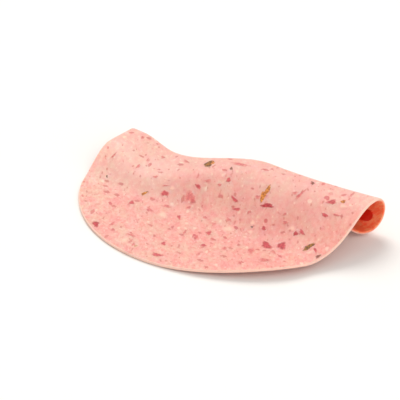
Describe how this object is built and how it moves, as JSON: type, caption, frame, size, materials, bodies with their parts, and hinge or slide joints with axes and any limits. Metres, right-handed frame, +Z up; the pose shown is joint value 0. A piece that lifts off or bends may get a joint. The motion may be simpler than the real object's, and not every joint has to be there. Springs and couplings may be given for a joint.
{
  "type": "head cheese slice",
  "caption": "Thin round slice of cooked pink sausage meat with fine red, green and ochre bits, its far side curled under into an open roll.",
  "frame": {"origin": "middle of the footprint, on the plane that the slice lies on", "axes": "+X along the roll, towards its wide open end; +Y from the flat flap towards the roll; +Z up"},
  "size_m": [0.12, 0.0766, 0.0171],
  "materials": {
    "cooked_flesh": "moist fine cooked meat, soft satin, with small red, green and ochre bits"
  },
  "bodies": {
    "root": {"slice": "cooked_flesh"}
  },
  "joints": []
}
